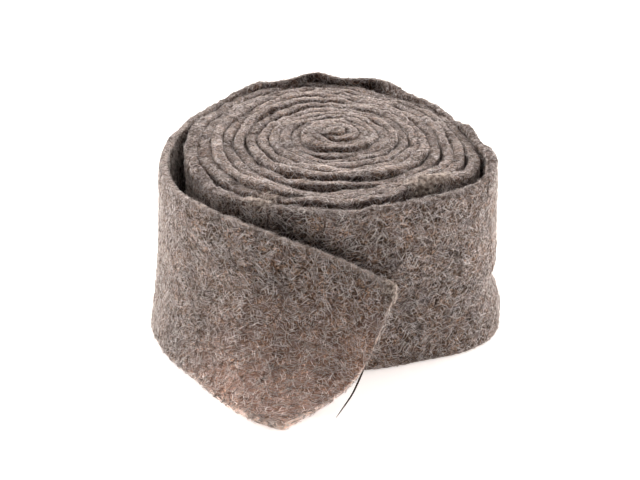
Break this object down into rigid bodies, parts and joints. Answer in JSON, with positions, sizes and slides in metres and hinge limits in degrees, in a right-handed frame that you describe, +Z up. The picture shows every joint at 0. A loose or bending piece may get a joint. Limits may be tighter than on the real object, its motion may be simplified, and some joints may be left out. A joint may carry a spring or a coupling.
{
  "type": "roll of felt",
  "caption": "Strip of thick mottled wool felt wound into a loose upright roll, its free end turned out in front and lying down on the floor.",
  "frame": {"origin": "bottom centre of the box round the roll and its loose end, on the surface it stands on", "axes": "+Z up along the roll's axis, the loose end comes forward on the left towards -Y, +X to the right"},
  "size_m": [0.156, 0.1984, 0.0778],
  "materials": {
    "wool_felt": "needled and milled wool felt, heathered grey-brown with pale and dark fibres, matt and hairy"
  },
  "bodies": {
    "root": {"wound_roll": "wool_felt", "loose_end": "wool_felt"}
  },
  "joints": []
}
